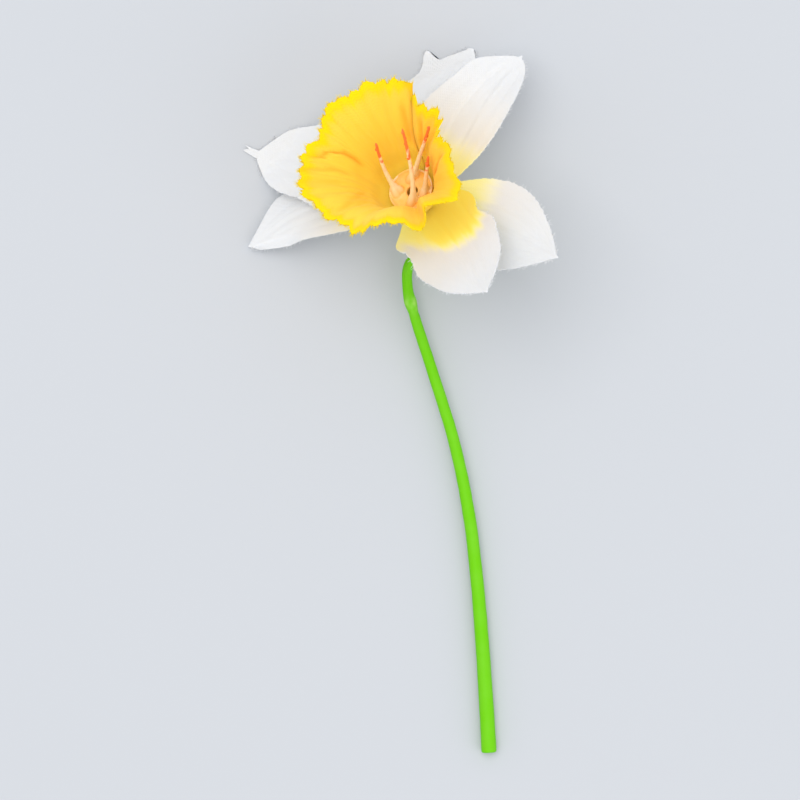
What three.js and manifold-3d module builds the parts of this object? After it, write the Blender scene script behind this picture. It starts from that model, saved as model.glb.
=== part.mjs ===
// A daffodil flower on its cut stem, lying face up on a flat surface.
// Millimetres, +Z up. The stem runs along Y, with the cut end at -Y and the flower head at +Y.
// The origin is under the middle of the whole flower, on the surface that it lies on.
import * as THREE from 'three';
import { mergeVertices } from 'three/addons/utils/BufferGeometryUtils.js';
import Module from 'manifold-3d';

const wasm = await Module();
wasm.setup();

// Where the flower head sits: the point on its axis between the two whorls of petals.
const HUB = new THREE.Vector3(3.9, 49.6, 22.5);
// The head's axis leans away from straight up, towards the left and the top.
const HEAD_TILT_X = THREE.MathUtils.degToRad(-22.2);
const HEAD_TILT_Y = THREE.MathUtils.degToRad(-20.7);

// Clearance between pieces that touch.
const FIT = 0.3;

// The shank that threads the flower together, with a pin at its foot. Levels run along the
// head's axis from the hub, and are over 0 towards the mouth of the trumpet.
const SHANK_RADIUS = 1.9;
const SHANK_FOOT = -7.5;
const SHANK_BORE_RADIUS = 1.4;
const SHANK_BORE_FLOOR = -3.5;
const PIN_RADIUS = 1.1;
const PIN_LENGTH = 2.8;
const ROOT_RADIUS = SHANK_RADIUS + FIT;

// Petals: a front whorl and a back whorl of three. Each leaves the shank flat, widens to an
// ovate blade and bends towards the viewer (bend over 0) or back to the surface (under 0).
// Angles run round the head's axis, and a bow carries the middle of the blade sideways. The
// outline is round at the root, and at the tip more pointed the nearer point is to 1.
const PETAL_THICKNESS = 0.65;
const PETAL_ROOT_HALF_WIDTH = 1.5;
const PETAL_TIP_HALF_WIDTH = 0.5;
const PETAL_ROUNDNESS = 0.7;
const PETAL_FLAT_RADIUS = 6.0;
const PETAL_WAVES = 1.6;
const PETAL_COLUMNS = 8;
const PETAL_ROWS = 15;
const FRONT_LEVEL = (PETAL_THICKNESS + FIT) / 2;
const BACK_LEVEL = -FRONT_LEVEL;
const PETALS = [
  {
    name: 'petal_front_left', level: FRONT_LEVEL, angle: 155.0, reach: 48.4, halfWidth: 11.8,
    fullest: 0.92, point: 0.78, bend: -5.2, curve: 1.5, cup: 1.0, wave: 0.4, phase: 0.1, bow: -1.0,
  },
  {
    name: 'petal_front_low', level: FRONT_LEVEL, angle: 303.5, reach: 43.5, halfWidth: 12.4,
    fullest: 0.72, point: 0.85, bend: 17.6, curve: 1.15, cup: 1.0, wave: 0.8, phase: 0.4, bow: 0.4,
  },
  {
    name: 'petal_front_top', level: FRONT_LEVEL, angle: 54.5, reach: 43.4, halfWidth: 10.8,
    fullest: 0.92, point: 0.62, bend: -6.0, curve: 1.5, cup: 1.3, wave: 0.7, phase: 0.7, bow: 1.8,
  },
  {
    name: 'petal_back_left', level: BACK_LEVEL, angle: 183.6, reach: 46.2, halfWidth: 7.8,
    fullest: 0.92, point: 0.9, bend: -6.5, curve: 1.6, cup: -0.5, wave: 0.4, phase: 0.3, bow: -4.0,
  },
  {
    name: 'petal_back_low', level: BACK_LEVEL, angle: 326.0, reach: 45.5, halfWidth: 11.6,
    fullest: 0.88, point: 0.95, bend: 8.0, curve: 1.5, cup: -0.4, wave: 0.5, phase: 0.2, bow: 1.4,
  },
  {
    name: 'petal_back_top', level: BACK_LEVEL, angle: 78.0, reach: 45.8, halfWidth: 12.0,
    fullest: 0.92, point: 0.8, bend: -13.2, curve: 1.3, cup: -0.6, wave: 0.4, phase: 0.6, bow: 5.6,
  },
];
// The height over which a petal tip that meets the surface bends level.
const REST_BEND = 1.2;

// The trumpet: a toothed, fluted cup. Its profile is [radius, level] from the hole in its floor,
// out and up the tube, to the rim.
const TRUMPET_THICKNESS = 0.7;
const TRUMPET_FLOOR = FRONT_LEVEL + PETAL_THICKNESS / 2 + FIT + TRUMPET_THICKNESS / 2;
const TRUMPET_PROFILE = [
  [ROOT_RADIUS, TRUMPET_FLOOR],
  [5.8, TRUMPET_FLOOR],
  [7.6, 4.6],
  [8.6, 10.0],
  [10.6, 15.4],
  [14.2, 20.6],
  [19.4, 26.2],
];
const TRUMPET_ROWS = 13;
const TRUMPET_TEETH = 34;
const TRUMPET_TOOTH_SHARE = 0.028;
const TRUMPET_FLUTES = 11;
const TRUMPET_FLUTE_DEPTH = 0.9;
const TRUMPET_RUFFLES = 5;
const TRUMPET_RUFFLE_HEIGHT = 1.1;
const TRUMPET_RUFFLE_PHASE = 1.3;
const TRUMPET_LOOSENESS = 2.5;
// Where the loose rim is pulled off its circle: [turn, spread, out, up]. The last one is the
// wide flare at the lower right.
const TRUMPET_PULLS = [
  [0.015, 0.035, -2.3, 1.2],
  [0.1, 0.05, -0.7, 0.0],
  [0.35, 0.05, -1.3, -0.6],
  [0.438, 0.022, -2.2, 0.0],
  [0.495, 0.035, 1.4, 0.0],
  [0.577, 0.025, 1.3, 0.0],
  [0.647, 0.02, -1.2, 0.0],
  [0.692, 0.015, 1.0, 0.0],
  [0.735, 0.03, -1.1, 1.4],
  [0.822, 0.018, 2.6, -2.4],
  [0.915, 0.05, 2.9, -3.0],
];
// The rim steps down beside the seam, by this share of the profile, and regains its length over
// the given part of a turn.
const SEAM_AT = 0.168;
const SEAM_SHARE = 0.085;
const SEAM_REACH = 0.45;

// The calyx: a cup behind the petals whose pointed lobes carry them. Its profile runs from the
// hole in its floor to the tip of a lobe, and a notch between lobes stops at a share of it.
const CALYX_THICKNESS = 0.8;
const CALYX_FLOOR = SHANK_FOOT + 0.1;
const CALYX_LOBE_TOP = BACK_LEVEL - PETAL_THICKNESS / 2 - FIT;
const CALYX_PROFILE = [
  [ROOT_RADIUS, CALYX_FLOOR],
  [3.0, CALYX_FLOOR],
  [3.8, -5.2],
  [4.8, -3.2],
  [7.4, CALYX_LOBE_TOP - CALYX_THICKNESS / 2],
];
const CALYX_LOBES = 6;
const CALYX_NOTCH_SHARE = 0.72;
const CALYX_COLUMNS_PER_LOBE = 6;
const CALYX_ROWS = 7;

// The collar: a sleeve that joins the head to the stem.
const COLLAR_RADIUS = 2.6;
const COLLAR_LENGTH = 5.0;
const COLLAR_BORE_RADIUS = PIN_RADIUS + FIT;
const COLLAR_CHAMFER = 0.3;
const COLLAR_TOP = CALYX_FLOOR - CALYX_THICKNESS / 2 - FIT;
const COLLAR_FOOT = COLLAR_TOP - COLLAR_LENGTH;

// The stamens: a saucer on the shank, with four tall prongs round its open middle. Each prong
// stands at an angle round the axis, bows outwards and ends at a tip in the head's frame.
const SAUCER_RADIUS = 5.6;
const SAUCER_THICKNESS = 0.8;
const SAUCER_LIP = 0.9;
const SAUCER_TOP = TRUMPET_FLOOR + TRUMPET_THICKNESS / 2 + FIT + SAUCER_THICKNESS;
const PRONG_FOOT_RADIUS = 3.4;
const PRONG_FOOT_HALF_WIDTH = 0.95;
const PRONG_TIP_HALF_WIDTH = 0.38;
const PRONG_TAPER = 0.6;
const PRONG_FLATNESS = 0.7;
const PRONG_STEPS = 9;
const PRONG_SIDES = 6;
const PRONG_KNEE_AT = 0.4;
const PRONGS = [
  { angle: 180, bow: 1.75, tip: [-2.8, 5.6, 20.0] },
  { angle: 270, bow: 1.5, tip: [5.8, 5.6, 25.0] },
  { angle: 90, bow: 0.25, tip: [12.4, 5.5, 24.0] },
  { angle: 342, bow: -0.25, tip: [10.6, -0.2, 20.0] },
];
const ANTHER_RADIUS = 0.52;
const ANTHERS_AT = [0.76, 0.93];
const TURNED_SEGMENTS = 24;

// The stem: its radius grows from the neck to the cut end, with a knot under the head. It leaves
// the collar along the head's axis, hooks under the petals and runs down to the cut end. The
// route after that is [x, y] from the hub, and the height over the surface.
const STEM_NECK_RADIUS = 1.45;
const STEM_CUT_RADIUS = 1.95;
const STEM_KNOT_RADIUS = 1.85;
const STEM_KNOT_AT = 0.19;
const STEM_KNOT_SPREAD = 0.012;
const STEM_NECK_LENGTH = 2.6;
const STEM_STEPS = 76;
const STEM_SIDES = 10;
const STEM_PEG_LENGTH = 2.2;
const STEM_PEG_SIDES = 12;
// How far the underside of the cut end is pressed flat.
const STEM_PRESS = 0.12;
const STEM_LAID = STEM_CUT_RADIUS - STEM_PRESS;
const STEM_ROUTE = [
  [4.6, -8.6, 7.6],
  [1.0, -12.4, 5.9],
  [-1.9, -16.6, 5.3],
  [-2.3, -22.0, 4.9],
  [-1.2, -27.5, 4.6],
  [3.4, -43.1, 3.8],
  [8.9, -60.0, 3.3],
  [12.7, -76.8, 2.8],
  [15.1, -93.4, 2.4],
  [16.5, -110.0, 2.1],
  [17.5, -125.0, STEM_LAID],
  [18.2, -137.0, STEM_LAID],
];

// The head's own frame: its Z is the flower's axis, with the mouth of the trumpet at +Z.
const head = new THREE.Group();
head.name = 'head';
head.position.copy(HUB);
head.rotation.set(HEAD_TILT_X, HEAD_TILT_Y, 0);
head.updateMatrix();
const surfaceToHead = head.matrix.clone().invert();
const headAxis = new THREE.Vector3(0, 0, 1);

// How strongly a pull acts at a turn: 1 in its middle, and less over its spread.
function pullShare(turn, at, spread) {
  const away = THREE.MathUtils.euclideanModulo(turn - at + 0.5, 1) - 0.5;
  return Math.exp(-((away / spread) ** 2));
}

// Rises from 0 to 1 and falls back over each turn, in straight lines.
function triangleWave(turns) {
  const phase = turns - Math.floor(turns);
  return 1 - Math.abs(2 * phase - 1);
}

// The direction square to a surface at (u, v), by differences.
function surfaceNormal(pointAt, u, v) {
  const step = 1e-4;
  const before = Math.max(v - step, 0);
  const after = Math.min(v + step, 1);
  const alongU = pointAt(u + step, v).sub(pointAt(u - step, v));
  const alongV = pointAt(u, after).sub(pointAt(u, before));
  return alongU.cross(alongV).normalize();
}

// A thin solid over the surface pointAt(u, v): two faces split into triangles alike, and a
// strip along each free edge. A sheet that wraps is closed on itself along u.
function sheetSolid({ columns, rows, wraps, thickness, pointAt }) {
  const acrossCount = wraps ? columns : columns + 1;
  const faceCount = acrossCount * (rows + 1);
  const positions = [];
  for (const side of [0.5, -0.5]) {
    for (let row = 0; row <= rows; row++) {
      for (let column = 0; column < acrossCount; column++) {
        const u = column / columns;
        const v = row / rows;
        const normal = surfaceNormal(pointAt, u, v);
        const point = pointAt(u, v).addScaledVector(normal, side * thickness);
        positions.push(point.x, point.y, point.z);
      }
    }
  }
  const index = [];
  const at = (column, row, face) => face * faceCount + row * acrossCount + (column % acrossCount);
  const strip = (from, to) => {
    const [a, b] = [at(...from, 0), at(...to, 0)];
    const [e, f] = [at(...from, 1), at(...to, 1)];
    index.push(a, e, f, a, f, b);
  };
  for (let row = 0; row < rows; row++) {
    for (let column = 0; column < columns; column++) {
      const corners = [[column, row], [column + 1, row], [column + 1, row + 1], [column, row + 1]];
      const [a, b, c, d] = corners.map((corner) => at(...corner, 0));
      const [e, f, g, h] = corners.map((corner) => at(...corner, 1));
      index.push(a, b, c, a, c, d);
      index.push(e, g, f, e, h, g);
    }
  }
  for (let column = 0; column < columns; column++) {
    strip([column, 0], [column + 1, 0]);
    strip([column + 1, rows], [column, rows]);
  }
  for (let row = 0; row < rows && !wraps; row++) {
    strip([0, row + 1], [0, row]);
    strip([columns, row], [columns, row + 1]);
  }
  const geometry = new THREE.BufferGeometry();
  geometry.setAttribute('position', new THREE.Float32BufferAttribute(positions, 3));
  geometry.setIndex(index);
  return geometry;
}

// A solid bar along a curve, whose radius changes along it.
function taperedBar({ curve, steps, sides, radiusAt, flatness = 1 }) {
  const corners = [];
  for (let side = 0; side < sides; side++) {
    const angle = (side * 2 * Math.PI) / sides;
    corners.push(new THREE.Vector2(Math.cos(angle), Math.sin(angle) * flatness));
  }
  const section = new THREE.Shape(corners);
  const bar = new THREE.ExtrudeGeometry(section, { extrudePath: curve, steps });
  const stations = curve.getSpacedPoints(steps);
  const place = bar.getAttribute('position');
  const point = new THREE.Vector3();
  for (let vertex = 0; vertex < place.count; vertex++) {
    point.fromBufferAttribute(place, vertex);
    const distances = stations.map((station) => station.distanceToSquared(point));
    const nearest = distances.indexOf(Math.min(...distances));
    const station = stations[nearest];
    point.sub(station).multiplyScalar(radiusAt(nearest / steps)).add(station);
    place.setXYZ(vertex, point.x, point.y, point.z);
  }
  return bar;
}

// A geometry as a solid for joining.
function solidOf(geometry) {
  const plain = geometry.clone();
  plain.deleteAttribute('normal');
  plain.deleteAttribute('uv');
  const merged = mergeVertices(plain, 1e-4);
  const mesh = new wasm.Mesh({
    numProp: 3,
    vertProperties: new Float32Array(merged.getAttribute('position').array),
    triVerts: new Uint32Array(merged.getIndex().array),
  });
  return new wasm.Manifold(mesh);
}

// Several overlapping geometries as one body.
function fused(geometries) {
  const joined = geometries.map(solidOf).reduce((whole, piece) => whole.add(piece));
  const mesh = joined.getMesh();
  const geometry = new THREE.BufferGeometry();
  geometry.setAttribute('position', new THREE.BufferAttribute(mesh.vertProperties, 3));
  geometry.setIndex(new THREE.BufferAttribute(mesh.triVerts, 1));
  return geometry;
}

// A list of [radius, level] pairs as points.
function profilePoints(pairs) {
  return pairs.map(([radius, level]) => new THREE.Vector2(radius, level));
}

// A body of revolution about the head's axis.
function turned(pairs) {
  const lathe = new THREE.LatheGeometry(profilePoints(pairs), TURNED_SEGMENTS);
  return lathe.rotateX(Math.PI / 2);
}

function named(name, geometry, colour, roughness) {
  const material = new THREE.MeshStandardMaterial({ color: colour, roughness, metalness: 0 });
  const mesh = new THREE.Mesh(geometry, material);
  mesh.name = name;
  return mesh;
}

// The height of a blade's underside once the surface has stopped it: level where it would have
// sunk in, with a soft bend before that.
function stoppedHeight(height) {
  if (height > REST_BEND) return height;
  if (height < -REST_BEND) return 0;
  return (height + REST_BEND) ** 2 / (4 * REST_BEND);
}

// A point in the middle of a petal's blade, moved so that the blade lies on the surface.
function laidOnSurface(point) {
  point.applyMatrix4(head.matrix);
  point.z = stoppedHeight(point.z - PETAL_THICKNESS / 2) + PETAL_THICKNESS / 2;
  return point.applyMatrix4(surfaceToHead);
}

function petalHalfWidth(petal, along) {
  const roundness = THREE.MathUtils.lerp(PETAL_ROUNDNESS, petal.point, along);
  const swell = Math.max(Math.sin(Math.PI * along ** petal.fullest), 0) ** roundness;
  const ends = THREE.MathUtils.lerp(PETAL_ROOT_HALF_WIDTH, PETAL_TIP_HALF_WIDTH, along);
  return ends + (petal.halfWidth - ends) * swell;
}

function petalPoint(petal, across, along) {
  const side = 1 - 2 * across;
  const radius = THREE.MathUtils.lerp(ROOT_RADIUS, petal.reach, along);
  const bent = Math.max(radius - PETAL_FLAT_RADIUS, 0) / (petal.reach - PETAL_FLAT_RADIUS);
  const arch = Math.sin(Math.PI * Math.min(bent, 1));
  const offMiddle = side * petalHalfWidth(petal, along);
  const edgeWave = Math.sin(2 * Math.PI * (PETAL_WAVES * along + petal.phase)) * bent;
  const waved = (petal.wave * edgeWave * offMiddle) / petal.halfWidth;
  const rise = petal.bend * bent ** petal.curve + petal.cup * side ** 2 * arch + waved;
  const point = new THREE.Vector3(radius, offMiddle + petal.bow * arch, petal.level + rise);
  point.applyAxisAngle(headAxis, THREE.MathUtils.degToRad(petal.angle));
  return laidOnSurface(point);
}

function petalGeometry(petal) {
  return sheetSolid({
    columns: PETAL_COLUMNS,
    rows: PETAL_ROWS,
    wraps: false,
    thickness: PETAL_THICKNESS,
    pointAt: (across, along) => petalPoint(petal, across, along),
  });
}

// A point of a cup, at a turn round the axis and a radius and level.
function cupPoint(turn, radius, level) {
  return new THREE.Vector3(radius, 0, level).applyAxisAngle(headAxis, 2 * Math.PI * turn);
}

const trumpetProfile = new THREE.SplineCurve(profilePoints(TRUMPET_PROFILE));

function trumpetPoint(turn, along) {
  const tooth = TRUMPET_TOOTH_SHARE * (1 - triangleWave(TRUMPET_TEETH * turn));
  const pastSeam = THREE.MathUtils.euclideanModulo(SEAM_AT - turn, 1) / SEAM_REACH;
  const cutShort = SEAM_SHARE * Math.max(1 - pastSeam, 0);
  const spot = trumpetProfile.getPoint(along * (1 - tooth - cutShort));
  const angle = 2 * Math.PI * turn;
  const loose = along ** TRUMPET_LOOSENESS;
  let out = TRUMPET_FLUTE_DEPTH * Math.cos(TRUMPET_FLUTES * angle);
  let up = TRUMPET_RUFFLE_HEIGHT * Math.cos(TRUMPET_RUFFLES * angle + TRUMPET_RUFFLE_PHASE);
  for (const [at, spread, pullOut, pullUp] of TRUMPET_PULLS) {
    out += pullOut * pullShare(turn, at, spread);
    up += pullUp * pullShare(turn, at, spread);
  }
  return cupPoint(turn, spot.x + loose * out, spot.y + loose * up);
}

function trumpetGeometry() {
  return sheetSolid({
    columns: 2 * TRUMPET_TEETH,
    rows: TRUMPET_ROWS,
    wraps: true,
    thickness: TRUMPET_THICKNESS,
    pointAt: (u, along) => trumpetPoint(-u, along),
  });
}

const calyxProfile = new THREE.SplineCurve(profilePoints(CALYX_PROFILE));

function calyxPoint(turn, along) {
  const lobe = THREE.MathUtils.lerp(CALYX_NOTCH_SHARE, 1, triangleWave(CALYX_LOBES * turn));
  const spot = calyxProfile.getPoint(along * lobe);
  return cupPoint(turn, spot.x, spot.y);
}

function calyxGeometry() {
  return sheetSolid({
    columns: CALYX_LOBES * CALYX_COLUMNS_PER_LOBE,
    rows: CALYX_ROWS,
    wraps: true,
    thickness: CALYX_THICKNESS,
    pointAt: (u, along) => calyxPoint(-u, along),
  });
}

function collarGeometry() {
  return turned([
    [COLLAR_BORE_RADIUS, COLLAR_FOOT],
    [COLLAR_RADIUS - COLLAR_CHAMFER, COLLAR_FOOT],
    [COLLAR_RADIUS, COLLAR_FOOT + COLLAR_CHAMFER],
    [COLLAR_RADIUS, COLLAR_TOP - COLLAR_CHAMFER],
    [COLLAR_RADIUS - COLLAR_CHAMFER, COLLAR_TOP],
    [COLLAR_BORE_RADIUS, COLLAR_TOP],
    [COLLAR_BORE_RADIUS, COLLAR_FOOT],
  ]);
}

// The saucer, its hollow shank and the pin at the foot, as one turned body.
function saucerAndShank() {
  const underside = SAUCER_TOP - SAUCER_THICKNESS;
  return turned([
    [0, SHANK_FOOT - PIN_LENGTH],
    [PIN_RADIUS, SHANK_FOOT - PIN_LENGTH],
    [PIN_RADIUS, SHANK_FOOT],
    [SHANK_RADIUS, SHANK_FOOT],
    [SHANK_RADIUS, underside],
    [SAUCER_RADIUS - SAUCER_LIP, underside],
    [SAUCER_RADIUS, underside + SAUCER_LIP],
    [SAUCER_RADIUS - SAUCER_THICKNESS / 2, SAUCER_TOP + SAUCER_LIP],
    [SAUCER_RADIUS - SAUCER_LIP, SAUCER_TOP],
    [SHANK_BORE_RADIUS, SAUCER_TOP],
    [SHANK_BORE_RADIUS, SHANK_BORE_FLOOR],
    [0, SHANK_BORE_FLOOR],
  ]);
}

// One prong with the small anthers along its upper part.
function prongParts(prong) {
  const outward = cupPoint(prong.angle / 360, 1, 0);
  const foot = outward.clone().multiplyScalar(PRONG_FOOT_RADIUS);
  foot.z = SAUCER_TOP - SAUCER_THICKNESS / 2;
  const tip = new THREE.Vector3(...prong.tip);
  const knee = foot.clone().lerp(tip, PRONG_KNEE_AT).addScaledVector(outward, prong.bow);
  const curve = new THREE.QuadraticBezierCurve3(foot, knee, tip);
  const [wide, narrow] = [PRONG_FOOT_HALF_WIDTH, PRONG_TIP_HALF_WIDTH];
  const bar = taperedBar({
    curve,
    steps: PRONG_STEPS,
    sides: PRONG_SIDES,
    radiusAt: (along) => THREE.MathUtils.lerp(wide, narrow, along ** PRONG_TAPER),
    flatness: PRONG_FLATNESS,
  });
  const anthers = ANTHERS_AT.map((along) => {
    const spot = curve.getPointAt(along);
    return new THREE.IcosahedronGeometry(ANTHER_RADIUS, 1).translate(spot.x, spot.y, spot.z);
  });
  return [bar, ...anthers];
}

function stemRadius(along) {
  const plain = THREE.MathUtils.lerp(STEM_NECK_RADIUS, STEM_CUT_RADIUS, along);
  const knot = Math.exp(-(((along - STEM_KNOT_AT) / STEM_KNOT_SPREAD) ** 2));
  return plain + (STEM_KNOT_RADIUS - plain) * knot;
}

// The stem with the peg that plugs into the collar. Its underside is level where it lies.
function stemGeometry() {
  const onAxis = (level) => new THREE.Vector3(0, 0, level).applyMatrix4(head.matrix);
  const top = COLLAR_FOOT - FIT;
  const curve = new THREE.CatmullRomCurve3([
    onAxis(top),
    onAxis(top - STEM_NECK_LENGTH),
    ...STEM_ROUTE.map(([x, y, height]) => new THREE.Vector3(HUB.x + x, HUB.y + y, height)),
  ]);
  const bar = taperedBar({ curve, steps: STEM_STEPS, sides: STEM_SIDES, radiusAt: stemRadius });
  const place = bar.getAttribute('position');
  for (let vertex = 0; vertex < place.count; vertex++) {
    place.setZ(vertex, Math.max(place.getZ(vertex), 0));
  }
  const peg = new THREE.CylinderGeometry(PIN_RADIUS, PIN_RADIUS, 2 * STEM_PEG_LENGTH, STEM_PEG_SIDES);
  peg.rotateX(Math.PI / 2).translate(0, 0, top).applyMatrix4(head.matrix);
  return fused([bar, peg]);
}

const flower = new THREE.Group();
flower.name = 'daffodil_flower';
flower.add(head);
flower.add(named('stem', stemGeometry(), '#6cc106', 0.45));
head.add(named('collar', collarGeometry(), '#ced19f', 0.35));
head.add(named('calyx', calyxGeometry(), '#6fae2c', 0.5));
for (const petal of PETALS) {
  head.add(named(petal.name, petalGeometry(petal), '#ecedec', 0.85));
}
head.add(named('trumpet', trumpetGeometry(), '#fcd13c', 0.8));
head.add(named('stamens', fused([saucerAndShank(), ...PRONGS.flatMap(prongParts)]), '#fec876', 0.4));

export default flower;
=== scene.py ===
"""A daffodil flower on its cut stem, lying face up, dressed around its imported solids."""

import logging
import math
import random
from dataclasses import dataclass
from enum import Enum
from functools import partial
from typing import Any, Callable, Optional, Sequence

import bmesh
import bpy
from mathutils import Matrix, Vector, noise


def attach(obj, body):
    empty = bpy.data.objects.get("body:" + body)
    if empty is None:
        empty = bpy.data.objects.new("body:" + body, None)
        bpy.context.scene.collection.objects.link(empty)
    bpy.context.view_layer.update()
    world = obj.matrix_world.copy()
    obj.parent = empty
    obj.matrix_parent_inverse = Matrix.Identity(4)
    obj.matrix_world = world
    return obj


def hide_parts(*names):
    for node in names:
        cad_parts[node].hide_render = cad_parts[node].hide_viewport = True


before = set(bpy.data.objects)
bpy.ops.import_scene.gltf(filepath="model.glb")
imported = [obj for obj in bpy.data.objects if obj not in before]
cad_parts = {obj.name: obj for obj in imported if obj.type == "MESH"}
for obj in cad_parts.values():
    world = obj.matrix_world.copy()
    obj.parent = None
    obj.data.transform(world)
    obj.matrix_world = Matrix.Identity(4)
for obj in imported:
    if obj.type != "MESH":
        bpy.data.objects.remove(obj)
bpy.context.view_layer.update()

log = logging.getLogger("daffodil")

Colour = tuple[float, float, float, float]
Pairs = tuple[tuple[float, float], ...]
Moves = tuple[tuple[float, float, float, float], ...]
Material = bpy.types.Material
Shape = bmesh.types.BMesh

# Lengths are in millimetres, and finish_piece turns a shape into metres. A profile or an
# outline is pairs of a radius and a level on the head's axis.
MM = 0.001
MERGE_DISTANCE = 1e-4
FULL_TURN = 2 * math.pi
UP = Vector((0.0, 0.0, 1.0))

# The head's own frame has its origin where the petals meet, and its axis along Z.
HUB = Vector((3.9, 49.6, 22.5))
HEAD_TILT_X = math.radians(-22.2)
HEAD_TILT_Y = math.radians(-20.7)
HEAD = (
    Matrix.Translation(HUB)
    @ Matrix.Rotation(HEAD_TILT_X, 4, "X")
    @ Matrix.Rotation(HEAD_TILT_Y, 4, "Y")
)
HEAD_INVERSE = HEAD.inverted()

ROOT_RADIUS = 2.2
SOLID_PETAL_THICKNESS = 0.65
REST_BEND = 1.2


def to_linear(hex_colour: str) -> Colour:
    """Turns an sRGB hex colour into Blender's linear colour.

    Args:
        hex_colour: Six hex digits after a hash sign.

    Returns:
        Linear red, green, blue and an alpha of 1.
    """
    parts = (int(hex_colour[start:start + 2], 16) / 255 for start in (1, 3, 5))
    red, green, blue = (
        part / 12.92 if part <= 0.04045 else ((part + 0.055) / 1.055) ** 2.4 for part in parts
    )
    return red, green, blue, 1.0


def mix(start: float, end: float, share: float) -> float:
    """Returns the value at a share of the way from start to end."""
    return start + (end - start) * share


def smooth_step(low: float, high: float, value: float) -> float:
    """Rises smoothly from 0 at low to 1 at high, or falls where low is over high."""
    share = min(max((value - low) / (high - low), 0.0), 1.0)
    return share * share * (3 - 2 * share)


def bell(offset: float, width: float) -> float:
    """Returns 1 at no offset, and falls away over the width."""
    return math.exp(-((offset / width) ** 2))


def past_turn(turn: float, at: float) -> float:
    """Returns how far a turn is past another, the short way round."""
    return (turn - at + 0.5) % 1.0 - 0.5


def grain(x: float, y: float, seed: float) -> float:
    """Returns smooth noise between about -1 and 1 at a place in a plane."""
    return noise.noise(Vector((x, y, seed)))


def add_node(
    tree: bpy.types.NodeTree,
    kind: str,
    settings: Optional[dict[Any, Any]] = None,
    links: Optional[dict[Any, bpy.types.NodeSocket]] = None,
) -> bpy.types.NodeOutputs:
    """Adds a shader node to a tree with its settings and links.

    Args:
        tree: The tree that gets the node.
        kind: The node's type name, without the ShaderNode that starts it.
        settings: Values by name. A name is one of the node's own settings, a socket, or
            "stops" for the places and colours of a colour ramp.
        links: Sources by the name or number of the socket that each one feeds.

    Returns:
        The new node's outputs.
    """
    node = tree.nodes.new(f"ShaderNode{kind}")
    for name, value in (settings or {}).items():
        if name == "stops":
            elements = node.color_ramp.elements
            while len(elements) < len(value):
                elements.new(1.0)
            for element, (place, colour) in zip(elements, value):
                element.position = place
                element.color = colour
        elif isinstance(name, str) and hasattr(node, name):
            setattr(node, name, value)
        else:
            node.inputs[name].default_value = value
    for name, source in (links or {}).items():
        tree.links.new(source, node.inputs[name])
    return node.outputs


def blank_material(name: str) -> tuple[Material, Callable[..., bpy.types.NodeOutputs]]:
    """Makes a material without nodes.

    Args:
        name: The material's name.

    Returns:
        The material, and add_node for its tree.
    """
    material = bpy.data.materials.new(name)
    material.use_nodes = True
    material.node_tree.nodes.clear()
    return material, partial(add_node, material.node_tree)


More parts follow.
